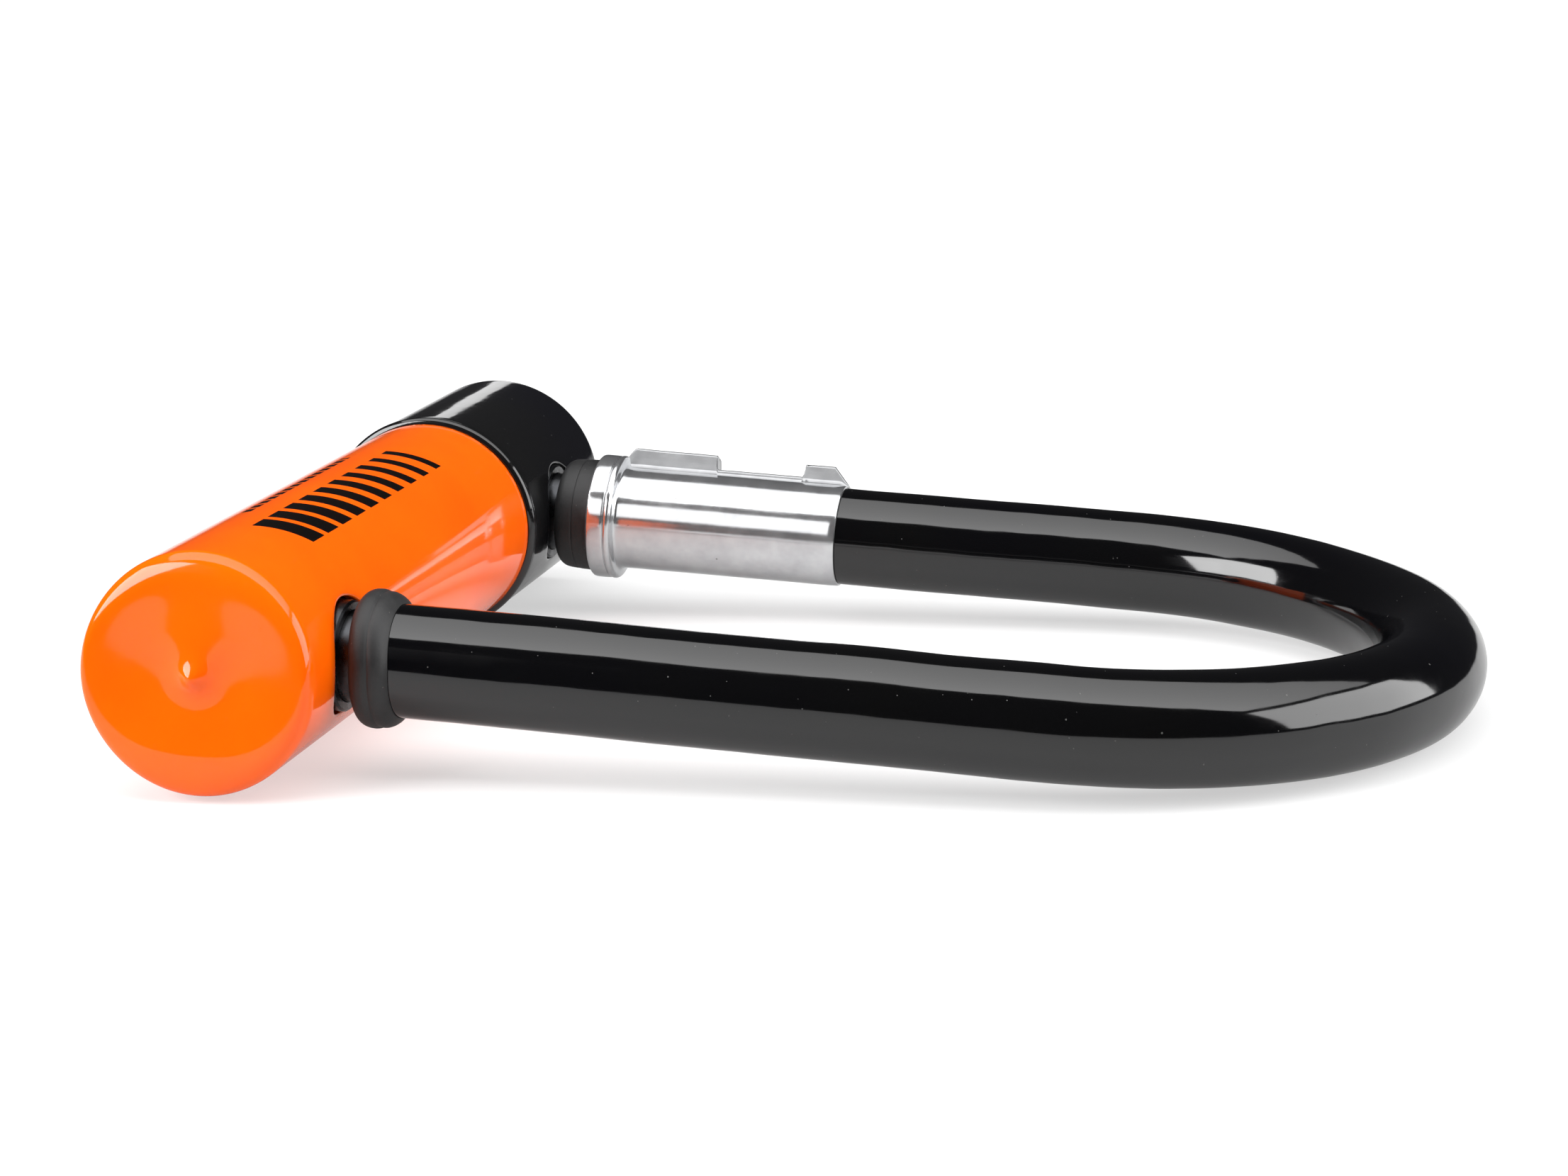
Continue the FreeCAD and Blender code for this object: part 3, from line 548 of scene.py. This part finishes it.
# The rail, in millimetres: places along the band from its flanged end, and distances from the leg's axis.
RAIL_START, FRONT_END, REAR_START, REAR_END = 3.3, 19.3, 33.9, 39.3
RAIL_TOE = (BAND_HIGH.x - BAND_LOW.x) / MM
START_TOP, FRONT_TOP, RIDGE_TOP, REAR_TOP, TOE_TOP = 9.0, 11.8, 9.25, 11.4, 8.5
FRONT_SAG = 0.1  # how far the front tab's edge drops towards its end
TAB_EDGE = 0.45  # length of a tab's steep end
ROOT_R = 8.3  # the lips start just under the wrap's surface
ROOT_FILLET = 1.2
LIP_BEVEL = 0.45
RAIL_LEAN = math.radians(28)


def rail_height(s):
    """Distance of the lips' edge from the leg's axis, at s along the band."""
    height = START_TOP + (FRONT_TOP - START_TOP) * ease((s - RAIL_START) / 1.9) ** 0.55
    height -= FRONT_SAG * ease((s - 6) / 13)
    height += (RIDGE_TOP - FRONT_TOP + FRONT_SAG) * ease((s - FRONT_END + 0.3) / TAB_EDGE)
    height += (REAR_TOP - RIDGE_TOP) * ease((s - REAR_START) / TAB_EDGE)
    ramp = min(max((s - REAR_END) / (RAIL_TOE - REAR_END), 0.0), 1.0)
    return height - ramp * (REAR_TOP - TOE_TOP)


def rail_half_width(s):
    """Half the lips' width. The front tab flares where it grows out of the flange, and the toe narrows."""
    return 1.75 + 0.35 * (1 - ease((s - RAIL_START) / 3.0)) - 0.25 * ease((s - 41.5) / 2.5)


def rail_stations():
    """Places of the rail's sections, close together where its height changes."""
    spans = [
        (RAIL_START, 6.6, 0.13),
        (6.6, FRONT_END - 0.5, 0.9),
        (FRONT_END - 0.5, FRONT_END + 0.4, 0.06),
        (FRONT_END + 0.4, REAR_START - 0.2, 0.9),
        (REAR_START - 0.2, REAR_START + 0.7, 0.06),
        (REAR_START + 0.7, REAR_END - 0.4, 0.6),
        (REAR_END - 0.4, REAR_END + 0.5, 0.1),
        (REAR_END + 0.5, RAIL_TOE - 0.2, 0.4),
    ]
    stations = [s for start, end, step in spans for s in np.arange(start, end, step)]
    return stations + [RAIL_TOE - 0.1, RAIL_TOE]


def rail_section(s):
    """The lips' outline across the leg, as (y, z) from its axis: root fillets, sides, bevels and the seam."""
    top, half = rail_height(s), rail_half_width(s)
    root = math.sqrt(ROOT_R**2 - (half + ROOT_FILLET) ** 2)
    fillet = min(ROOT_FILLET, (top - root) * 0.55)
    bevel = min(LIP_BEVEL, (top - root) * 0.4)
    side = [(half + ROOT_FILLET + 0.1, root - 0.4)]
    for degrees in (0, 18, 36, 54, 72, 90):
        a = math.radians(degrees)
        side.append((half + fillet * (1 - math.sin(a)), root + fillet * (1 - math.cos(a))))
    side.append((half, max(root + fillet, top - bevel)))
    for degrees in (15, 30, 45, 60, 75, 90):
        a = math.radians(degrees)
        side.append((half - bevel * (1 - math.cos(a)), top - bevel * (1 - math.sin(a))))
    side += [(0.16, top - 0.01), (0.06, top - 0.12)]
    upright = side + [(0.0, top - 0.3)] + [(-y, z) for y, z in reversed(side)] + [(0.0, root - 0.8)]
    lean_cos, lean_sin = math.cos(RAIL_LEAN), math.sin(RAIL_LEAN)
    return [(y * lean_cos + z * lean_sin, z * lean_cos - y * lean_sin) for y, z in upright]


def carrier_rail(material):
    """The band's two lips, which lean away from the closed end: two tabs joined by a low ridge."""
    surface = Surface()
    rings = []
    for s in rail_stations():
        points = [(BAND_LOW.x + s * MM, LEG_Y + y * MM, z * MM) for y, z in rail_section(s)]
        shift = [wobble(p, 5 * MM, 0.05 * MM, 9.0) for p in points]
        rings.append(surface.ring([(p[0], p[1] + d, p[2] + d) for p, d in zip(points, shift)]))
    surface.chain(rings)
    for ring in (rings[0], rings[-1]):
        surface.close(ring, np.mean([surface.points[i] for i in ring], axis=0))
    return add_piece("band_rail", surface, material, "shackle_body", ["carrier_band"], 48)


# ---- node material helpers -----------------------------------------------------------------------
class Finish:
    """A Principled material and short ways to add procedural nodes to it."""

    def __init__(self, name):
        self.material = bpy.data.materials.new(name)
        self.material.use_nodes = True
        self.tree = self.material.node_tree
        self.shader = self.tree.nodes["Principled BSDF"]
        self.place = self.tree.nodes.new("ShaderNodeTexCoord").outputs["Object"]

    def node(self, kind, *inputs, **settings):
        made = self.tree.nodes.new(kind)
        for key, value in settings.items():
            setattr(made, key, value)
        for number, value in enumerate(inputs):
            if value is not None:
                self.feed(made.inputs[number], value)
        return made

    def feed(self, socket, value):
        if isinstance(value, bpy.types.NodeSocket):
            self.tree.links.new(value, socket)
        else:
            socket.default_value = value

    def set(self, **values):
        for name, value in values.items():
            self.feed(self.shader.inputs[name.replace("_", " ").title().replace("Ior", "IOR")], value)

    def math(self, operation, a, b=0.0, clamp=False):
        return self.node("ShaderNodeMath", a, b, operation=operation, use_clamp=clamp).outputs[0]

    def stretched(self, x, y, z):
        """Object coordinates scaled on each axis, so that a texture is drawn out along some of them."""
        return self.node("ShaderNodeMapping", self.place, None, None, (x, y, z)).outputs[0]

    def noise(self, per_metre, detail=3.0, roughness=0.5, place=None, distortion=0.0):
        made = self.node("ShaderNodeTexNoise")
        self.feed(made.inputs["Vector"], place or self.place)
        self.feed(made.inputs["Scale"], per_metre)
        self.feed(made.inputs["Detail"], detail)
        self.feed(made.inputs["Roughness"], roughness)
        self.feed(made.inputs["Distortion"], distortion)
        return made.outputs[0]

    def specks(self, per_metre, size, share, place=None):
        """A mask of small round dots: one in some of a Voronoi texture's cells."""
        made = self.node("ShaderNodeTexVoronoi")
        self.feed(made.inputs["Vector"], place or self.place)
        self.feed(made.inputs["Scale"], per_metre)
        cell = self.node("ShaderNodeSeparateColor", made.outputs["Color"]).outputs[0]
        chosen = self.math("LESS_THAN", cell, share)
        dot = self.math("LESS_THAN", made.outputs["Distance"], size)
        return self.math("MULTIPLY", dot, chosen)

    def level(self, value, low, high, out_low=0.0, out_high=1.0):
        """A value's range low to high, mapped to out_low to out_high and held there."""
        made = self.node("ShaderNodeMapRange", value, low, high, out_low, out_high)
        return made.outputs[0]

    def blend(self, share, a, b):
        """Colour a where share is 0 and b where it is 1."""
        made = self.node("ShaderNodeMix", data_type="RGBA")
        self.feed(made.inputs[0], share)
        self.feed(made.inputs[6], a)
        self.feed(made.inputs[7], b)
        return made.outputs[2]

    def bump(self, height, depth, strength=1.0, below=None):
        """Bump from a height map whose full range is depth metres."""
        made = self.node("ShaderNodeBump")
        self.feed(made.inputs["Strength"], strength)
        self.feed(made.inputs["Distance"], depth)
        self.feed(made.inputs["Height"], height)
        if below is not None:
            self.feed(made.inputs["Normal"], below)
        return made.outputs[0]


def colour(r, g, b):
    return (r, g, b, 1.0)


def grey(value):
    return colour(value, value, value)


def shaded(rgb, shade):
    return colour(*[c * shade for c in rgb])


# ---- finishes ------------------------------------------------------------------------------------
def bar_mark(finish):
    """Plain printed mark on top of the sleeve: a row of slanting bars and a dashed line, as one mask."""
    parts = finish.node("ShaderNodeSeparateXYZ", finish.place).outputs
    angle = finish.math("ARCTAN2", parts[2], parts[0])
    arc = finish.math("MULTIPLY", angle, SLEEVE_R)

    def inside(value, low, high):
        above, below = finish.math("GREATER_THAN", value, low), finish.math("LESS_THAN", value, high)
        return finish.math("MULTIPLY", above, below)

    def bars(start, end, arc_low, arc_high, pitch, duty, thinning, slant):
        shift = finish.math("MULTIPLY", finish.math("SUBTRACT", arc, arc_low), slant)
        leaning = finish.math("ADD", parts[1], shift)
        turns = finish.math("DIVIDE", finish.math("SUBTRACT", leaning, start), pitch)
        share = finish.math("SUBTRACT", duty, finish.math("MULTIPLY", turns, thinning))
        bar = finish.math("LESS_THAN", finish.math("FRACT", turns), share)
        lengthways = finish.math("MULTIPLY", inside(leaning, start, end), bar)
        return finish.math("MULTIPLY", lengthways, inside(arc, arc_low, arc_high))

    top = math.radians(90) * SLEEVE_R  # the arc length at the top of the crossbar
    wide = bars(-45 * MM, 15.0 * MM, top - 9.0 * MM, top - 0.5 * MM, 6.0 * MM, 0.78, 0.04, 0.35)
    thin = bars(-38 * MM, 3.4 * MM, top + 3.6 * MM, top + 5.2 * MM, 3.1 * MM, 0.7, 0.0, 0.0)
    return finish.math("MAXIMUM", wide, thin)


def orange_vinyl():
    finish = Finish("orange_dipped_vinyl")
    cloud = finish.level(finish.noise(45, 3), 0.3, 0.7)
    base = finish.blend(cloud, colour(0.93, 0.108, 0.0006), colour(1.0, 0.132, 0.0009))
    scuffs = finish.level(finish.noise(900, 4, 0.6, finish.stretched(1, 0.12, 1)), 0.62, 0.75)
    patches = finish.level(finish.noise(70, 2), 0.5, 0.7)
    worn = finish.math("MULTIPLY", scuffs, patches)
    dirt = finish.specks(330, 0.09, 0.05)
    base = finish.blend(finish.math("MULTIPLY", worn, 0.25), base, colour(0.8, 0.13, 0.02))
    base = finish.blend(finish.math("MULTIPLY", dirt, 0.6), base, colour(0.45, 0.08, 0.01))
    base = finish.blend(bar_mark(finish), base, colour(0.0035, 0.002, 0.0015))
    rough = finish.math("ADD", finish.math("MULTIPLY", worn, 0.12), finish.level(cloud, 0, 1, 0.05, 0.09))
    skin = finish.bump(finish.noise(260, 3, 0.55), 0.006 * MM)
    skin = finish.bump(finish.specks(420, 0.12, 0.06), 0.02 * MM, 0.6, skin)
    finish.set(base_color=base, roughness=rough, ior=1.46, normal=skin, subsurface_weight=0.12)
    finish.shader.inputs["Subsurface Radius"].default_value = (1.0, 0.25, 0.05)
    finish.shader.inputs["Subsurface Scale"].default_value = 1.2 * MM
    return finish.material


def black_gloss(name, shade, ripple, drawn, dust_share):
    """Gloss black vinyl or plastic: ripples drawn out along the piece, faint wipe marks and a little dust."""
    finish = Finish(name)
    wipe = finish.level(finish.noise(650, 4, 0.65, finish.stretched(0.15, 1, 1)), 0.5, 0.8)
    dust = finish.specks(720, 0.10, dust_share)
    lint = finish.specks(1500, 0.13, dust_share * 1.4)
    marks = finish.math("MAXIMUM", dust, lint)
    cloud = finish.level(finish.noise(30, 2), 0.3, 0.7)
    base = finish.blend(cloud, colour(shade, shade, shade * 1.5), grey(shade * 1.5))
    base = finish.blend(finish.math("MULTIPLY", marks, 0.5), base, colour(0.12, 0.12, 0.115))
    rough = finish.math("ADD", finish.math("MULTIPLY", wipe, 0.05), 0.075)
    rough = finish.math("ADD", rough, finish.math("MULTIPLY", marks, 0.4))
    skin = finish.bump(finish.noise(300, 2, 0.5, finish.stretched(*drawn)), ripple)
    finish.set(base_color=base, roughness=rough, ior=1.6, normal=skin)
    return finish.material


def black_rubber():
    finish = Finish("matte_black_rubber")
    bloom = finish.level(finish.noise(160, 4, 0.6), 0.35, 0.75)
    base = finish.blend(bloom, colour(0.009, 0.009, 0.0095), colour(0.025, 0.025, 0.026))
    dust = finish.specks(1300, 0.12, 0.05)
    base = finish.blend(finish.math("MULTIPLY", dust, 0.5), base, colour(0.14, 0.13, 0.12))
    pits = finish.bump(finish.specks(260, 0.16, 0.16), 0.25 * MM, -0.8)
    grain = finish.bump(finish.noise(2600, 3, 0.6), 0.025 * MM, 1.0, pits)
    lumps = finish.bump(finish.noise(420, 2), 0.05 * MM, 1.0, grain)
    finish.set(base_color=base, roughness=finish.level(bloom, 0, 1, 0.5, 0.66), ior=1.5, normal=lumps)
    return finish.material


def satin_plastic():
    finish = Finish("satin_black_plastic")
    cloud = finish.noise(200, 3)
    base = finish.blend(cloud, colour(0.018, 0.018, 0.019), colour(0.04, 0.04, 0.042))
    grain = finish.bump(finish.noise(5200, 2, 0.6), 0.02 * MM)
    finish.set(base_color=base, roughness=finish.level(cloud, 0.3, 0.7, 0.34, 0.46), ior=1.5, normal=grain)
    return finish.material


def metal(name, light, dark, smooth, rough, grain, grain_scale=900.0, depth=0.006):
    """Steel or brass with drawn-out grain, cloudy colour and small pits."""
    finish = Finish(name)
    cloud = finish.level(finish.noise(90, 4, 0.6), 0.3, 0.7)
    base = finish.blend(cloud, colour(*dark), colour(*light))
    lines = finish.noise(grain_scale, 4, 0.6, finish.stretched(*grain))
    pits = finish.specks(900, 0.14, 0.04)
    base = finish.blend(finish.math("MULTIPLY", pits, 0.5), base, shaded(dark, 0.35))
    shine = finish.level(lines, 0.3, 0.7, smooth, rough)
    skin = finish.bump(lines, depth * MM)
    skin = finish.bump(pits, 0.03 * MM, -0.7, skin)
    finish.set(base_color=base, metallic=1.0, roughness=shine, normal=skin)
    return finish.material


def zinc_plate(name, shade):
    """Zinc plate over drawn strip: fine lengthwise lines, soft mottling and pits. shade scales the plate's
    colour: 1 is its own colour, and below 1 darkens it as painted shade.
    """
    finish = Finish(name)
    mottle = finish.level(finish.noise(230, 5, 0.62), 0.3, 0.72)
    base = finish.blend(mottle, shaded((0.52, 0.525, 0.54), shade), shaded((0.66, 0.67, 0.68), shade))
    lines = finish.noise(1500, 5, 0.65, finish.stretched(0.06, 1, 1))
    fine = finish.level(lines, 0.3, 0.7)
    pits = finish.specks(800, 0.15, 0.05)
    base = finish.blend(finish.math("MULTIPLY", pits, 0.7), base, colour(0.16, 0.155, 0.15))
    shine = finish.math("ADD", finish.level(fine, 0, 1, 0.08, 0.15), finish.math("MULTIPLY", mottle, 0.05))
    skin = finish.bump(lines, 0.004 * MM)
    skin = finish.bump(finish.noise(500, 3), 0.008 * MM, 1.0, skin)
    skin = finish.bump(pits, 0.04 * MM, -0.8, skin)
    finish.set(base_color=base, metallic=0.88, roughness=shine, normal=skin)
    return finish.material


# ---- studio --------------------------------------------------------------------------------------
def softbox(name, centre, target, width, height, radiance, lean=0.0, fade=None, only=()):
    """A rectangular light that faces a target point. lean turns it in its own plane. fade is (axis, start,
    end): its brightness runs from start to end times the radiance along that axis of its plane. only lists
    the pieces it lights, where it doesn't light all."""
    data = bpy.data.lights.new(name, "AREA")
    data.shape = "RECTANGLE"
    data.size = width
    data.size_y = height
    data.energy = radiance * math.pi * width * height
    if fade:
        axis, start, end = fade
        data.use_nodes = True
        tree = data.node_tree
        emission = next(n for n in tree.nodes if n.type == "EMISSION")
        place = tree.nodes.new("ShaderNodeNewGeometry").outputs["Parametric"]
        parts = tree.nodes.new("ShaderNodeSeparateXYZ")
        tree.links.new(place, parts.inputs[0])
        ramp = tree.nodes.new("ShaderNodeMapRange")
        ramp.inputs["To Min"].default_value = start
        ramp.inputs["To Max"].default_value = end
        tree.links.new(parts.outputs[axis], ramp.inputs[0])
        tree.links.new(ramp.outputs[0], emission.inputs["Strength"])
    light = bpy.data.objects.new(name, data)
    light.location = centre
    facing = (Vector(target) - Vector(centre)).to_track_quat("-Z", "Y").to_matrix().to_4x4()
    light.rotation_euler = (facing @ Matrix.Rotation(math.radians(lean), 4, "Z")).to_euler()
    light.visible_camera = False
    SCENE.collection.objects.link(light)
    if only:
        lit = bpy.data.collections.new(name + "_lights")
        for piece in only:
            lit.objects.link(piece)
        light.light_linking.receiver_collection = lit


def resting_plane():
    """Normal, tilt and depth of the plane that the lock lies on, touching it at its bead and its bend."""
    bar_r, reach = LOCK_HIGH.z, COVER_HIGH.x - COVER_R
    lean = math.asin((bar_r - COVER_R) / reach)
    return Vector((-math.sin(lean), 0, math.cos(lean))), lean, bar_r


def floor():
    """Pale studio table. It ends a little in front of the picture and runs far back."""
    normal, lean, drop = resting_plane()
    front, back, half = -0.24, 4.0, 3.0
    corners = [(-half, front), (half, front), (half, back), (-half, back)]
    mesh = bpy.data.meshes.new("studio_floor")
    mesh.from_pydata([(x, y, 0.0) for x, y in corners], [], [(0, 1, 2, 3)])
    plane = bpy.data.objects.new("studio_floor", mesh)
    plane.matrix_world = Matrix.Translation(-normal * drop) @ Matrix.Rotation(-lean, 4, "Y")
    SCENE.collection.objects.link(plane)
    finish = Finish("pale_floor")
    finish.set(base_color=grey(0.45), roughness=0.9, specular_ior_level=0.1)
    parts = finish.node("ShaderNodeSeparateXYZ", finish.place).outputs
    # the camera sees all of its glow; reflections see less of it at its front edge and far back
    glow = finish.level(parts[1], 0.1, 0.9, 0.55, 1.0)
    seen = finish.node("ShaderNodeLightPath").outputs["Is Camera Ray"]
    reflected = finish.level(parts[1], front, front + 0.18, 0.03, 0.46)
    reflected = finish.math("MULTIPLY", reflected, finish.level(parts[1], 0.25, 0.7, 1.0, 0.2))
    strength = finish.math("MULTIPLY", glow, finish.math("MAXIMUM", seen, reflected))
    finish.set(emission_color=grey(1), emission_strength=strength)
    mesh.materials.append(finish.material)


def world():
    """Dark room for reflections, white behind the floor for the camera."""
    made = bpy.data.worlds.new("studio")
    SCENE.world = made
    made.use_nodes = True
    tree = made.node_tree
    background = tree.nodes["Background"]
    path = tree.nodes.new("ShaderNodeLightPath")
    mix = tree.nodes.new("ShaderNodeMix")
    mix.data_type = "RGBA"
    tree.links.new(path.outputs["Is Camera Ray"], mix.inputs[0])
    mix.inputs[6].default_value = colour(0.03, 0.03, 0.032)
    mix.inputs[7].default_value = grey(1.0)
    tree.links.new(mix.outputs[2], background.inputs["Color"])


def camera():
    """The picture's viewpoint: low, at the closed end's side, turned a little left and rolled a little."""
    data = bpy.data.cameras.new("studio_camera")
    data.sensor_width = 36.0
    data.lens = 74.75
    viewpoint = bpy.data.objects.new("studio_camera", data)
    yaw, pitch, roll = math.radians(-12.152), math.radians(13.837), math.radians(2.2)
    place = Matrix.Translation((0.16796, -0.46842, 0.12082))
    aim = Matrix.Rotation(-yaw, 4, "Z") @ Matrix.Rotation(math.pi / 2 - pitch, 4, "X")
    viewpoint.matrix_world = place @ aim @ Matrix.Rotation(roll, 4, "Z")
    SCENE.collection.objects.link(viewpoint)
    SCENE.camera = viewpoint


def studio(moulding, band, rail):
    """Floor, lights and camera. One strip lights only the moulding, and two cards only the zinc pieces."""
    floor()
    world()
    above, left, right = (0.12, -0.01, 0.9), (-0.82, -0.6, 0.48), (1.0, 0.02, 0.42)
    softbox("overhead_softbox", above, (0.12, -0.01, 0.0), 1.68, 1.04, 3.6, fade=(1, 1.0, 0.45))
    softbox("left_softbox", left, (-0.1, 0.0, 0.1), 0.85, 0.66, 10.0)
    softbox("right_softbox", right, (0.1, 0.0, 0.1), 1.05, 0.64, 4.6)
    behind, high = (-0.128, 0.45, 0.115), (-0.11, -0.38, 0.40)
    front, side = (-0.13, -0.45, 0.27), (-0.23, -0.45, 0.25)
    middle = (0.0, 0.0, 0.02)
    # these four stand for cards and flags set close round parts of the lock
    softbox("back_strip", behind, (-0.02, 0.05, 0.017), 0.045, 0.13, 1.7, lean=-28, only=[moulding])
    softbox("front_card", front, middle, 0.38, 0.30, 1.8, only=[band])
    softbox("rail_card", high, (0.04, 0.05, 0.01), 0.34, 0.34, 1.2, only=[rail])
    softbox("side_card", side, middle, 0.26, 0.22, 0.55, fade=(0, 1.0, 0.0))
    camera()
    SCENE.view_settings.view_transform = "Standard"


# ---- assembly ------------------------------------------------------------------------------------
def dress_cad_nodes():
    """Finishes for the CAD nodes that are shown as they are."""
    oiled, oiled_dark = (0.075, 0.078, 0.085), (0.03, 0.029, 0.028)
    drawn, drawn_dark = (0.13, 0.13, 0.132), (0.07, 0.068, 0.067)
    brass, brass_dark = (0.80, 0.62, 0.30), (0.66, 0.48, 0.22)
    finishes = {
        "hardened_steel": metal("oiled_hardened_steel", oiled, oiled_dark, 0.22, 0.38, (1, 1, 1)),
        "tube_steel": metal("drawn_tube_steel", drawn, drawn_dark, 0.34, 0.5, (1, 0.08, 1)),
        "brass": metal("turned_brass", brass, brass_dark, 0.16, 0.3, (1, 0.5, 1), 1400.0),
        "satin_plastic": satin_plastic(),
    }
    for entry in frame["record"]["subparts"]:
        node = frame["nodes"][entry["node"]]
        finish = finishes.get(entry["material_slot"])
        if finish:
            node.data.materials.clear()
            node.data.materials.append(finish)


def build_lock():
    """Make every visible piece, and return the ones that have lights of their own."""
    rubber = black_rubber()
    orange_sleeve(orange_vinyl())
    moulding = lock_sleeve(black_gloss("black_gloss_moulding", 0.004, 0.06 * MM, (1, 0.25, 1), 0.006))
    vinyl_cover(black_gloss("black_gloss_vinyl", 0.0014, 0.008 * MM, (0.35, 1, 1), 0.02))
    near_boot(rubber)
    far_boot(rubber)
    band = carrier_band(zinc_plate("bright_zinc_plate", 1.0))
    # the rail is the band's own zinc plate, its colour halved as painted shade that dims its reflections
    rail = carrier_rail(zinc_plate("zinc_plate_painted_shade", 0.5))
    dress_cad_nodes()
    return moulding, band, rail


studio(*build_lock())
